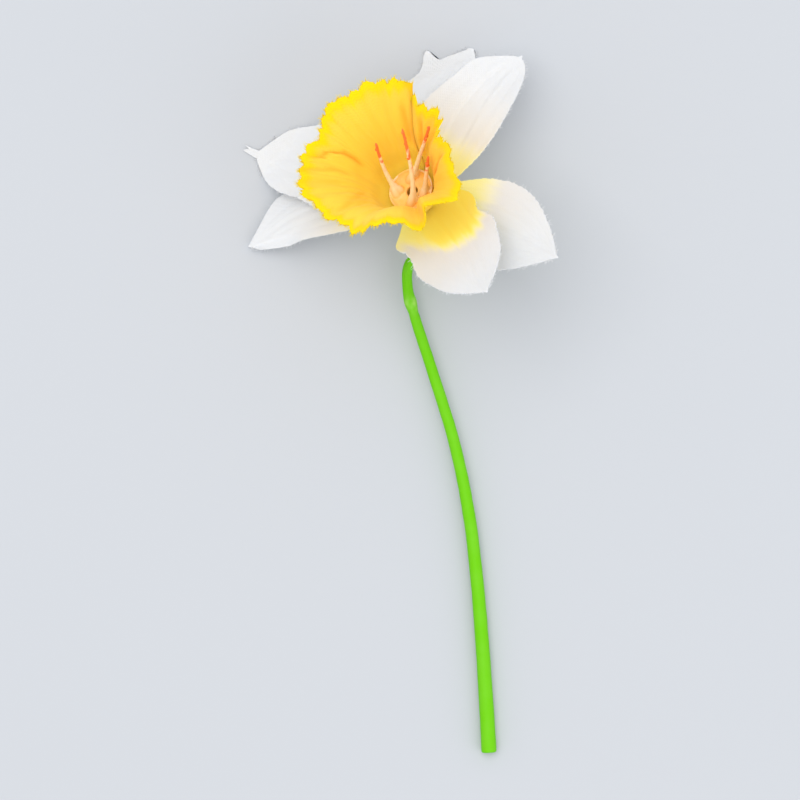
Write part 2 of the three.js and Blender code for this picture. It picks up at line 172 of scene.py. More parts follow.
@dataclass(frozen=True)
class WovenCloth:
    """Fine plain-woven polyester, dyed, stiffened and pressed to shape with heat.

    The thread is thin and the weave open, so the cloth is dull, lets some light through and
    has a faint bloom at grazing angles. The real thread spacing is near 0.25 mm. It is drawn
    at about twice that, so that the weave shows in a picture of the whole flower.
    """

    name: str
    stops: tuple[tuple[float, str], ...]
    blush: str
    thread_spacing_mm: float = 0.45
    thread_unevenness: float = 0.6
    weave_depth_mm: float = 0.05
    weave_shade: float = 0.05
    slub_mm: float = 1.6
    slub_share: float = 0.6
    streak_mm: float = 1.9
    streak_length_mm: float = 16.0
    streak_strength: float = 0.5
    roughness: float = 0.82
    let_through: float = 0.45
    let_through_mm: float = 0.6
    sheen: float = 0.25
    specular: float = 0.25

    def build(self) -> Material:
        """Makes the material, which reads a piece's attributes weave, blade, dye and blush.

        Returns:
            The node material.
        """
        material, add = blank_material(self.name)
        weave, blade, dye, blush = (
            add("Attribute", {"attribute_name": name}) for name in ("weave", "blade", "dye", "blush")
        )
        thread = {
            "Scale": math.pi / (10 * self.thread_spacing_mm),
            "Distortion": self.thread_unevenness, "Detail": 1.0, "Detail Scale": 0.6,
        }
        warp, weft = (
            add("TexWave", {"bands_direction": way} | thread, {"Vector": weave["Vector"]})
            for way in ("X", "Y")
        )
        cross = add("Math", {"operation": "MAXIMUM"}, {0: warp["Fac"], 1: weft["Fac"]})
        slub = add("TexNoise", {"Scale": 1 / self.slub_mm, "Detail": 3.0}, {"Vector": weave["Vector"]})
        relief = add(
            "Math", {"operation": "MULTIPLY_ADD", 1: self.slub_share}, {0: slub["Fac"], 2: cross["Value"]}
        )
        stretch = (1 / self.streak_mm, 1 / self.streak_length_mm, 1.0)
        stretched = add("Mapping", {"Scale": stretch}, {"Vector": blade["Vector"]})
        streaks = add("TexNoise", {"Scale": 1.0, "Detail": 2.0}, {"Vector": stretched["Vector"]})
        swing = {"To Min": -self.streak_strength / 2, "To Max": self.streak_strength / 2, "clamp": False}
        streak = add("MapRange", swing, {"Value": streaks["Fac"]})
        light_dye = add("Math", {"operation": "MINIMUM", 1: 1.0}, {0: dye["Fac"]})
        streaked = {0: streak["Result"], 1: light_dye["Value"], 2: dye["Fac"]}
        depth = add("Math", {"operation": "MULTIPLY_ADD"}, streaked)
        stops = [(place, to_linear(shade)) for place, shade in self.stops]
        colour = add("ValToRGB", {"stops": stops}, {"Fac": depth["Value"]})
        # Blush is cream on the petals, and the painted shade of the folds and the seam on the trumpet.
        blushed = add(
            "Mix", {"data_type": "RGBA", 7: to_linear(self.blush)}, {0: blush["Fac"], 6: colour["Color"]}
        )
        # Painted shade: the valleys between the threads are darkened by weave_shade.
        valley = add(
            "MapRange", {"To Min": 1 - self.weave_shade, "To Max": 1.0}, {"Value": cross["Value"]}
        )
        threaded = add(
            "Mix",
            {"data_type": "RGBA", "blend_type": "MULTIPLY", 0: 1.0},
            {6: blushed[2], 7: valley["Result"]},
        )
        bump = add(
            "Bump", {"Strength": 0.5, "Distance": self.weave_depth_mm * MM}, {"Height": relief["Value"]}
        )
        skin = {
            "Roughness": self.roughness,
            "IOR": 1.5,
            "Specular IOR Level": self.specular,
            "Sheen Weight": self.sheen,
            "Sheen Roughness": 0.5,
            "Subsurface Weight": self.let_through,
            "Subsurface Radius": (1.0, 0.95, 0.85),
            "Subsurface Scale": self.let_through_mm * MM,
        }
        shader = add("BsdfPrincipled", skin, {"Base Color": threaded[2], "Normal": bump["Normal"]})
        add("OutputMaterial", None, {"Surface": shader["BSDF"]})
        return material


@dataclass(frozen=True)
class MouldedPlastic:
    """Soft polyethylene, injection moulded, with a satin skin and faint flow marks.

    The colour is mixed in unevenly, and the skin has a very fine grain that breaks up its
    gloss. Further colours follow the piece's attributes: pale, ripe, and the painted shade of a bore.
    """

    name: str
    colour: str
    pale: str
    ripe: str
    # The pit colour is painted shade for the inside of a bore.
    pit: str = "#4a3c10"
    roughness: float = 0.5
    specular: float = 0.25
    mottle_mm: float = 3.0
    mottle_share: float = 0.35
    grain_mm: float = 0.35
    grain_depth_mm: float = 0.02

    def build(self) -> Material:
        """Makes the material, which reads Object coordinates and the three attributes.

        Returns:
            The node material.
        """
        material, add = blank_material(self.name)
        place = add("TexCoord")["Object"]
        mottle = add("TexNoise", {"Scale": 1 / (self.mottle_mm * MM), "Detail": 3.0}, {"Vector": place})
        share = add(
            "MapRange",
            {"From Min": 0.35, "From Max": 0.75, "To Max": self.mottle_share},
            {"Value": mottle["Fac"]},
        )
        colour = add(
            "Mix",
            {"data_type": "RGBA", 6: to_linear(self.colour), 7: to_linear(self.pale)},
            {0: share["Result"]},
        )
        for name, shade in (("pale", self.pale), ("ripe", self.ripe), ("pit", self.pit)):
            amount = add("Attribute", {"attribute_name": name})
            colour = add("Mix", {"data_type": "RGBA", 7: to_linear(shade)}, {0: amount["Fac"], 6: colour[2]})
        skin = add("TexNoise", {"Scale": 1 / (self.grain_mm * MM), "Detail": 2.0}, {"Vector": place})
        gloss = add(
            "MapRange",
            {"To Min": self.roughness - 0.06, "To Max": self.roughness + 0.1},
            {"Value": skin["Fac"]},
        )
        bump = add(
            "Bump", {"Strength": 0.4, "Distance": self.grain_depth_mm * MM}, {"Height": skin["Fac"]}
        )
        shader = add(
            "BsdfPrincipled",
            {"IOR": 1.5, "Specular IOR Level": self.specular},
            {"Base Color": colour[2], "Roughness": gloss["Result"], "Normal": bump["Normal"]},
        )
        add("OutputMaterial", None, {"Surface": shader["BSDF"]})
        return material


PETAL_CLOTH = WovenCloth(
    "dyed_petal_cloth",
    ((0.0, "#dcdcdc"), (0.15, "#e9e6cc"), (0.4, "#f6ee96"), (0.7, "#ffea5c"), (1.0, "#ffe24a")),
    blush="#f8d898",
    weave_shade=0.03,
    streak_strength=0.45,
)
TRUMPET_CLOTH = WovenCloth(
    "golden_trumpet_cloth",
    # Past 0.3 the stops grow lighter: painted light for the throat and the low wall.
    ((0.0, "#ffd300"), (0.12, "#ffcd16"), (0.3, "#ffca44"), (0.65, "#ffd650"), (1.0, "#ffdc56")),
    # The blush is the orange painted shade of the folds and the seam.
    blush="#fb9a1c",
    thread_spacing_mm=0.6,
    weave_shade=0.13,
    streak_mm=1.4,
    streak_length_mm=12.0,
    streak_strength=0.12,
    let_through=0.55,
    let_through_mm=1.0,
    sheen=0.06,
    specular=0.15,
)
# The insert's pit colour is the painted shade in its bore.
STAMEN_PLASTIC = MouldedPlastic(
    "peach_polyethylene", "#ffc658", "#fff0cc", "#f2783a", pit="#c79a30", roughness=0.45
)
CALYX_PLASTIC = MouldedPlastic("green_polyethylene_calyx", "#6aa82a", "#93c04e", "#4c8a1c")
COLLAR_PLASTIC = MouldedPlastic("straw_polyethylene_collar", "#cfd3a2", "#e0e2c2", "#b8bf86")
STEM_PLASTIC = MouldedPlastic(
    "green_polyethylene_stem", "#68c000", "#97d056", "#5fb402",
    specular=0.15, mottle_share=0.12, mottle_mm=5.0,
)


def add_object(name: str, data: bpy.types.ID) -> bpy.types.Object:
    """Puts an object into the scene.

    Args:
        name: The object's name.
        data: Its mesh, light or camera.

    Returns:
        The object.
    """
    added = bpy.data.objects.new(name, data)
    bpy.context.scene.collection.objects.link(added)
    return added


def finish_piece(
    name: str, shape: Shape, finish: Material, nodes: Sequence[str], wall_mm: float = 0.0
) -> bpy.types.Object:
    """Turns a finished shape into a piece that rides on the flower.

    Args:
        name: The piece's name.
        shape: The shape, which is freed.
        finish: The material that it wears.
        nodes: The solids that it stands for.
        wall_mm: The thickness that a sheet gets, half to each side, or 0 for a closed shape.

    Returns:
        The new object.
    """
    bmesh.ops.scale(shape, vec=(MM, MM, MM), verts=shape.verts)
    mesh = bpy.data.meshes.new(name)
    shape.to_mesh(mesh)
    shape.free()
    mesh.shade_smooth()
    mesh.materials.append(finish)
    piece = add_object(name, mesh)
    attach(piece, "root")
    if nodes:
        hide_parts(*nodes)
    if wall_mm:
        wall = piece.modifiers.new("wall", "SOLIDIFY")
        wall.thickness = wall_mm * MM
        wall.offset = 0.0
        wall.use_even_offset = False
    log.info("%s has %d faces", name, len(mesh.polygons))
    return piece


def warped_grid(columns: int, rows: int, place: Callable[[float, float], Vector]) -> Shape:
    """Makes a grid of faces and moves each of its points.

    Args:
        columns: The count of faces along u.
        rows: The count of faces along v.
        place: Gives the point at u and v, which both run from 0 to 1.

    Returns:
        The shape. Its layers u and v keep where each point was on the grid, and its border
        is sharp, so that the cut edge of a sheet doesn't shade the sheet beside it.
    """
    shape = bmesh.new()
    bmesh.ops.create_grid(shape, x_segments=columns, y_segments=rows, size=0.5)
    at_u = shape.verts.layers.float.new("u")
    at_v = shape.verts.layers.float.new("v")
    for vert in shape.verts:
        u, v = vert.co.x + 0.5, vert.co.y + 0.5
        vert[at_u], vert[at_v] = u, v
        vert.co = place(u, v)
    for edge in shape.edges:
        edge.smooth = not edge.is_boundary
    return shape


def cloth_layers(shape: Shape) -> tuple[Any, Any, Any, Any]:
    """Adds the layers weave, blade, dye and blush to a shape and returns them."""
    floats, vectors = shape.verts.layers.float, shape.verts.layers.float_vector
    return vectors.new("weave"), vectors.new("blade"), floats.new("dye"), floats.new("blush")


def spun(outline: Pairs, steps: int = 64) -> Shape:
    """Turns an outline about the head's axis.

    Args:
        outline: Pairs of radius and level, in order.
        steps: The count of steps of a full turn.

    Returns:
        The closed shape in the head's own frame.
    """
    shape = bmesh.new()
    verts = [shape.verts.new((radius, 0.0, level)) for radius, level in outline]
    edges = [shape.edges.new(pair) for pair in zip(verts, verts[1:])]
    bmesh.ops.spin(
        shape, geom=verts + edges, cent=(0.0, 0.0, 0.0), axis=UP, angle=FULL_TURN, steps=steps, use_merge=True
    )
    bmesh.ops.remove_doubles(shape, verts=shape.verts, dist=MERGE_DISTANCE)
    bmesh.ops.recalc_face_normals(shape, faces=shape.faces)
    return shape


def rod(path: Sequence[Vector], width: Callable[[float, float], float], sides: int) -> Shape:
    """Makes a closed rod along a path.

    Args:
        path: The points of the middle line, close together.
        width: Gives the radius at a share of the path and a turn round it.
        sides: The count of sides.

    Returns:
        The closed shape, with its normals outward.
    """
    last = len(path) - 1
    tangents = [
        (path[min(index + 1, last)] - path[max(index - 1, 0)]).normalized() for index in range(last + 1)
    ]
    across = [tangents[0].orthogonal().normalized()]
    for tangent in tangents[1:]:
        across.append((across[-1] - tangent * across[-1].dot(tangent)).normalized())

    def place(u: float, v: float) -> Vector:
        """Returns the point of the skin at a turn u and a share v of the path.

        Args:
            u: The turn round the path.
            v: The share of the path.

        Returns:
            The point.
        """
        station = round(v * last)
        other = tangents[station].cross(across[station])
        angle = FULL_TURN * u
        spoke = across[station] * math.cos(angle) + other * math.sin(angle)
        return path[station] + spoke * width(v, u)

    shape = warped_grid(sides, last, place)
    for edge in shape.edges:
        edge.smooth = True
    bmesh.ops.remove_doubles(shape, verts=shape.verts, dist=MERGE_DISTANCE)
    bmesh.ops.holes_fill(shape, edges=[edge for edge in shape.edges if edge.is_boundary])
    bmesh.ops.recalc_face_normals(shape, faces=shape.faces)
    return shape


def curve_point(start: Vector, start_pull: Vector, end: Vector, end_pull: Vector, share: float) -> Vector:
    """Finds a point of the cubic curve between two points.

    Args:
        start: The first point.
        start_pull: How the curve leaves it.
        end: The second point.
        end_pull: How the curve reaches it.
        share: The share of the way.

    Returns:
        The point.
    """
    square, cube = share**2, share**3
    return (
        start * (2 * cube - 3 * square + 1)
        + start_pull * (cube - 2 * square + share)
        + end * (3 * square - 2 * cube)
        + end_pull * (cube - square)
    )


def profile_point(profile: Pairs, share: float) -> Vector:
    """Finds a point on the even spline through a profile.

    Args:
        profile: Pairs of radius and level.
        share: The share of the way along the spline.

    Returns:
        The point, with its radius as X and its level as Z.
    """
    points = [Vector((radius, 0.0, level)) for radius, level in profile]
    place = share * (len(points) - 1)
    index = min(int(place), len(points) - 2)
    before, start = points[max(index - 1, 0)], points[index]
    end, after = points[index + 1], points[min(index + 2, len(points) - 1)]
    return curve_point(start, (end - before) / 2, end, (after - start) / 2, place - index)


def centripetal_path(points: Sequence[Vector], samples: int, per_span: int = 40) -> list[Vector]:
    """Draws the centripetal spline through some points, as even steps of length.

    Args:
        points: The points that the path goes through.
        samples: The count of steps in the result.
        per_span: The count of steps between two of the points while it is drawn.

    Returns:
        The path's points, evenly spaced.
    """
    ends = [2 * points[0] - points[1], *points, 2 * points[-1] - points[-2]]
    fine = []
    for first, start, end, after in zip(ends, ends[1:], ends[2:], ends[3:]):
        before, own, past = (
            math.sqrt((right - left).length)
            for left, right in ((first, start), (start, end), (end, after))
        )
        middle = (end - start) / own
        pull = (start - first) / before - (end - first) / (before + own) + middle
        push = middle - (after - start) / (own + past) + (after - end) / past
        for step in range(per_span):
            fine.append(curve_point(start, pull * own, end, push * own, step / per_span))
    fine.append(points[-1])
    lengths = [0.0]
    for start, end in zip(fine, fine[1:]):
        lengths.append(lengths[-1] + (end - start).length)
    path, index = [], 0
    for step in range(samples + 1):
        target = lengths[-1] * step / samples
        while index < len(fine) - 2 and lengths[index + 1] < target:
            index += 1
        span = lengths[index + 1] - lengths[index]
        path.append(fine[index].lerp(fine[index + 1], (target - lengths[index]) / span))
    return path


class Whorl(Enum):
    """The ring of petals that a petal is in, as its level on the head's axis."""

    FRONT = 0.475
    BACK = -0.475


@dataclass(frozen=True)
class Dye:
    """How the yellow base of a petal is dyed.

    The cloth is dyed strongly out to full_mm from the axis and not at all past end_mm. Both
    shrink by arc_mm times the square of the way from the side peak. The cloth at side -1 is
    paler by the share lean. Blush is the share of warm cream.
    """

    strength: float
    full_mm: float
    end_mm: float
    lean: float = 0.0
    arc_mm: float = 0.0
    peak: float = 0.0
    blush: float = 0.0
    most_arc_mm: float = 12.0
    full_cream_mm: float = 10.0
    end_cream_mm: float = 36.0

    def cream(self, radius: float) -> float:
        """Returns the share of warm cream at a distance from the axis."""
        return self.blush * smooth_step(self.end_cream_mm, self.full_cream_mm, radius)

    def depth(self, radius: float, side: float) -> float:
        """Finds the depth of the dye.

        Args:
            radius: The distance from the axis.
            side: The side, from -1 to 1.

        Returns:
            The depth, from 0 to 1.
        """
        reached = radius + min(self.arc_mm * (side - self.peak) ** 2, self.most_arc_mm)
        paler = 1 - self.lean * smooth_step(-0.1, 0.7, -side)
        return smooth_step(self.end_mm, self.full_mm, reached) * self.strength * paler


@dataclass(frozen=True)
class Point:
    """The narrow point at the end of a petal, which may curl up and be forked."""

    length_mm: float = 0.9
    half_mm: float = 0.4
    end_half_mm: float = 0.1
    curl_mm: float = 0.0
    lean_mm: float = 0.0
    fork: float = 0.0


@dataclass(frozen=True)
class Crease:
    """A pressed line up a petal, from one side to another, between two shares of its length."""

    from_side: float
    to_side: float
    low: float
    high: float
    depth_mm: float
    width_mm: float = 0.6

    def lift(self, side: float, along: float, half_width: float) -> float:
        """Finds how far the crease lifts the cloth.

        Args:
            side: The side, from -1 to 1.
            along: The share of the petal's length.
            half_width: Half the petal's width there.

        Returns:
            The lift in millimetres.
        """
        share = (along - self.low) / (self.high - self.low)
        off = (side - mix(self.from_side, self.to_side, share)) * half_width
        ends = smooth_step(-0.1, 0.15, share) * smooth_step(1.1, 0.85, share)
        step = smooth_step(-2 * self.width_mm, 0.0, off) * smooth_step(9 * self.width_mm, 0.0, off)
        return self.depth_mm * (step - 0.4 * bell(off + self.width_mm, self.width_mm)) * ends


@dataclass(frozen=True)
class Roll:
    """A margin that rolls over: by lift_mm at the edge of one side, between two shares."""

    towards: int
    start: float
    low: float
    high: float
    lift_mm: float

    def lift(self, side: float, along: float) -> float:
        """Returns how far the roll lifts the cloth at a side and a share of the length."""
        ends = smooth_step(self.low, self.low + 0.12, along) * smooth_step(self.high, self.high - 0.04, along)
        return self.lift_mm * smooth_step(self.start, 1.0, self.towards * side) * ends


@dataclass(frozen=True)
class Flap:
    """A part of a margin that stands further out, or in, round a share of the length."""

    towards: int
    at: float
    spread: float
    out_mm: float
    ahead_mm: float = 0.0
    lift_mm: float = 0.0

    def share(self, side: float, along: float) -> float:
        """Returns how much of the flap there is at a place of the petal."""
        return bell(along - self.at, self.spread) * smooth_step(0.45, 1.0, self.towards * side)


@dataclass(frozen=True)
class Petal:
    """One petal: a blade of woven cloth on the head.

    Its outline and bends are those of the solid of the same name. The rest is finer: a
    midrib crease, veins, a rolled margin, a narrow point at the tip and a frayed outline.
    """

    name: str
    whorl: Whorl
    angle: float
    reach: float
    half_width: float
    fullest: float
    pointed: float
    bend: float
    curve: float
    cup: float
    wave: float
    phase: float
    bow: float
    dye: Dye
    tip: Point = Point()
    creases: tuple[Crease, ...] = ()
    rolls: tuple[Roll, ...] = ()
    flaps: tuple[Flap, ...] = ()
    rib: float = 0.3
    seed: float = 0.0

    root_half_width: float = 1.5
    tip_half_width: float = 0.5
    roundness: float = 0.7
    flat_radius: float = 6.0
    waves: float = 1.6
    rib_width_mm: float = 0.75
    veins: tuple[float, ...] = (-0.62, -0.34, 0.36, 0.66)
    vein_mm: float = 0.06
    buckle_mm: float = 0.45
    pucker_mm: float = 0.08
    ragged_mm: float = 0.2
    margin_from: float = 0.93
    narrow_from: float = 0.8
    columns: int = 60
    rows: int = 140
    blade_share: float = 0.94
    cloth_mm: float = 0.32

    def bent(self, radius: float) -> float:
        """Returns how far along its bend the blade is, at a distance from the axis."""
        return max(radius - self.flat_radius, 0.0) / (self.reach - self.flat_radius)

    def on_head(self, spot: Vector) -> Vector:
        """Returns a point turned about the axis to the petal's own angle."""
        return Matrix.Rotation(math.radians(self.angle), 3, "Z") @ spot

    def blade_half_width(self, along: float) -> float:
        """Finds half the blade's width.

        Args:
            along: The share of the blade's length.

        Returns:
            Half the width in millimetres.
        """
        power = mix(self.roundness, self.pointed, along)
        swell = max(math.sin(math.pi * along**self.fullest), 0.0) ** power
        ends = mix(self.root_half_width, self.tip_half_width, along)
        return ends + (self.half_width - ends) * swell

    def spread(self, u: float, v: float) -> tuple[float, float, float, float, float]:
        """Lays the petal out flat.

        Args:
            u: The place across the grid, from 0 to 1.
            v: The place along the grid, from 0 at the root to 1 at the end of the point.

        Returns:
            The side from 1 to -1, the share along the blade, the share along the point, the
            distance from the axis and the distance from the middle line.
        """
        side = 1 - 2 * u
        along = min(v / self.blade_share, 1.0)
        past = max(v - self.blade_share, 0.0) / (1 - self.blade_share)
        half = self.blade_half_width(along)
        if along > self.narrow_from:
            half = max(half, self.tip.half_mm)
        half = mix(half, self.tip.end_half_mm, past) if past else half
        ahead = self.tip.length_mm * past * (1 - self.tip.fork * (1 - abs(side)))
        return side, along, past, mix(ROOT_RADIUS, self.reach, along) + ahead, side * half

    def relief(self, side: float, off_middle: float, radius: float, along: float) -> float:
        """Finds how far fine creases and rolls lift the cloth.

        Args:
            side: From -1 at one edge to 1 at the other.
            off_middle: The distance from the middle line, in millimetres.
            radius: The distance from the head's axis.
            along: The share of the blade's length.

        Returns:
            The lift in millimetres.
        """
        bent, half = self.bent(radius), self.blade_half_width(along)
        lift = -self.rib * bell(off_middle - 0.5 * grain(radius / 9, 0, self.seed), self.rib_width_mm)
        lift -= self.vein_mm * sum(bell(side - vein, 0.05) for vein in self.veins)
        lift += self.buckle_mm * grain(off_middle / 4.5, radius / 22, self.seed + 5)
        lift += self.pucker_mm * grain(off_middle / 1.6, radius / 5, self.seed + 9)
        lift += sum(crease.lift(side, along, half) for crease in self.creases)
        lift *= smooth_step(0.0, 0.2, bent) * smooth_step(1.0, 0.85, bent)
        return lift + sum(roll.lift(side, along) for roll in self.rolls)

    def place(self, u: float, v: float) -> Vector:
        """Finds a point of the cloth.

        Args:
            u: The place across the petal, from 0 to 1.
            v: The place along it, from 0 to 1.

        Returns:
            The point, in millimetres.
        """
        side, along, past, radius, off_middle = self.spread(u, v)
        bent = self.bent(radius)
        arch = math.sin(math.pi * min(bent, 1.0))
        edge = smooth_step(self.margin_from, 1.0, abs(side)) * smooth_step(0.0, 0.2, bent) * (1 - past)
        ragged = edge * self.ragged_mm * grain(radius * 1.9, side * 3, self.seed + 2)
        edge_wave = math.sin(FULL_TURN * (self.waves * along + self.phase)) * min(bent, 1.0)
        rise = self.bend * bent**self.curve + self.cup * side**2 * arch
        rise += self.wave * edge_wave * off_middle / self.half_width
        rise += self.relief(side, off_middle, radius, along) + self.tip.curl_mm * past**1.5
        across = off_middle * (1 + ragged / 6) + self.bow * arch + self.tip.lean_mm * past
        for flap in self.flaps:
            share = flap.share(side, along) * (1 - past)
            rise += flap.lift_mm * share
            across += flap.towards * flap.out_mm * share
            radius += flap.ahead_mm * share
        return self.laid(HEAD @ self.on_head(Vector((radius, across, self.whorl.value + rise))))

    @staticmethod
    def laid(spot: Vector) -> Vector:
        """Moves a point of the blade up so that the blade lies on the surface.

        Args:
            spot: The point, which is changed.

        Returns:
            The same point.
        """
        height = spot.z - SOLID_PETAL_THICKNESS / 2
        if height < -REST_BEND:
            height = 0.0
        elif height < REST_BEND:
            height = (height + REST_BEND) ** 2 / (4 * REST_BEND)
        spot.z = height + SOLID_PETAL_THICKNESS / 2
        return spot

    def dress(self, shape: Shape) -> None:
        """Writes what the cloth's material reads to the shape's points.

        Args:
            shape: The blade, with its layers u and v.
        """
        at_u, at_v = shape.verts.layers.float["u"], shape.verts.layers.float["v"]
        weave, blade, dye, blush = cloth_layers(shape)
        for vert in shape.verts:
            side, _, _, radius, off_middle = self.spread(vert[at_u], vert[at_v])
            vert[weave] = self.on_head(Vector((radius, off_middle, 0.0)))
            vert[blade] = Vector((off_middle, radius, 7.0 * self.seed))
            ragged = 1.2 * grain(off_middle / 2.2, radius / 14, self.seed + 4)
            ragged += 1.3 * grain(off_middle / 0.8, radius / 18, self.seed + 6)
            vert[dye] = self.dye.depth(radius + ragged, side)
            vert[blush] = self.dye.cream(radius + ragged)

    def build(self, cloth: Material) -> None:
        """Makes the petal.

        Args:
            cloth: The material of the petals.
        """
        shape = warped_grid(self.columns, self.rows, self.place)
        self.dress(shape)
        finish_piece(f"{self.name}_cloth", shape, cloth, [self.name], self.cloth_mm)


# The numbers before each dye are the petal's fields from angle to bow.
PETALS = (
    Petal(
        "petal_front_left", Whorl.FRONT,
        155.0, 48.4, 11.8, 0.92, 0.78, -5.2, 1.5, 1.0, 0.4, 0.1, -1.0,
        Dye(0.4, 11.0, 20.0),
        tip=Point(3.4, 0.95, 0.7, curl_mm=2.2, lean_mm=-0.3, fork=0.45),
        flaps=(Flap(-1, 0.85, 0.09, 1.4), Flap(1, 0.85, 0.09, 0.8), Flap(1, 0.58, 0.11, -1.3)),
        seed=1.3,
    ),
    Petal(
        "petal_front_low", Whorl.FRONT,
        303.5, 43.5, 12.4, 0.72, 0.85, 17.6, 1.15, 1.0, 0.8, 0.4, 0.4,
        Dye(1.0, 17.5, 26.5, lean=0.5, arc_mm=9.0, peak=0.35),
        flaps=(
            Flap(-1, 0.17, 0.06, 1.3), Flap(-1, 0.35, 0.12, -1.9), Flap(-1, 0.82, 0.13, 1.4),
            Flap(1, 0.37, 0.12, -2.8), Flap(1, 0.82, 0.13, 1.2),
        ),
        rib=0.2, seed=2.6,
    ),
    Petal(
        "petal_front_top", Whorl.FRONT,
        54.5, 43.4, 10.8, 0.92, 0.62, -6.0, 1.5, 1.3, 0.7, 0.7, 1.8,
        Dye(0.48, 10.0, 20.0, blush=0.32),
        creases=(Crease(0.15, 0.45, 0.3, 0.93, 0.4), Crease(-0.35, -0.1, 0.35, 0.9, -0.35)),
        flaps=(Flap(1, 0.84, 0.1, 1.6, 0.8),),
        rib=0.1, seed=3.9,
    ),
    Petal(
        "petal_back_left", Whorl.BACK,
        183.6, 46.2, 7.8, 0.92, 0.9, -6.5, 1.6, -0.5, 0.4, 0.3, -4.0,
        Dye(0.15, 12.0, 26.0, blush=0.35),
        rolls=(Roll(1, 0.55, 0.66, 1.0, -1.5),),
        flaps=(Flap(-1, 0.83, 0.13, 3.2),),
        rib=0.2, seed=4.2,
    ),
    Petal(
        "petal_back_low", Whorl.BACK,
        326.0, 45.5, 11.6, 0.88, 0.95, 8.0, 1.5, -0.4, 0.5, 0.2, 1.4,
        Dye(0.38, 12.0, 22.0),
        rib=0.2, seed=5.5,
    ),
    Petal(
        "petal_back_top", Whorl.BACK,
        78.0, 45.3, 12.0, 0.92, 0.8, -13.2, 1.3, -0.6, 0.4, 0.6, 5.6,
        Dye(0.3, 10.0, 18.0),
        tip=Point(0.3, 1.0, 0.6, curl_mm=0.3),
        flaps=(Flap(1, 0.86, 0.03, 1.7, 3.9, 0.9), Flap(1, 0.93, 0.04, 0.7)),
        seed=6.8,
    ),
)


@dataclass(frozen=True)
class Fold:
    """A fold of the trumpet's cloth, along a line up its wall.

    The line is pairs of a share up the wall and a turn round the axis, from the throat to the
    rim. The cloth dips along it and stands off by step_mm past it, and its colour is painted
    darker orange along the groove, as the shade in it.
    """

    line: Pairs
    width_mm: float = 0.8
    groove_mm: float = 0.5
    step_mm: float = 0.0
    reach_mm: float = 3.0
    shade: float = 0.4

    def effect(self, turn: float, along: float, radius: float) -> tuple[float, float]:
        """Finds what the fold does to the cloth at a place of the wall.

        Args:
            turn: The turn round the axis.
            along: The share up the wall.
            radius: The wall's radius there.

        Returns:
            How far the cloth stands off the wall in millimetres, and how much painted shade it gets.
        """
        at = self.line[-1][1]
        for (low, start), (high, end) in zip(self.line, self.line[1:]):
            if along < high:
                at = mix(start, end, min(max((along - low) / (high - low), 0.0), 1.0))
                break
        first, last = self.line[0][0], self.line[-1][0]
        fade = smooth_step(last + 0.08, last - 0.04, along) if last < 1 else 1.0
        window = smooth_step(first - 0.02, first + 0.12, along) * fade
        past = past_turn(turn, at) * FULL_TURN * radius
        # Painted shade: the groove's colour is darkened by shade times its depth.
        groove = bell(past, self.width_mm)
        step = smooth_step(-self.width_mm, self.width_mm, past) * bell(max(past, 0.0), self.reach_mm)
        return (self.step_mm * step - self.groove_mm * groove) * window, self.shade * groove * window


@dataclass(frozen=True)
class Patch:
    """A patch of the trumpet's wall round a turn, where something is there by an amount."""

    at: float
    spread: float
    amount: float

    def share(self, turn: float) -> float:
        """Returns how much of it there is at a turn."""
        return self.amount * bell(past_turn(turn, self.at), self.spread)


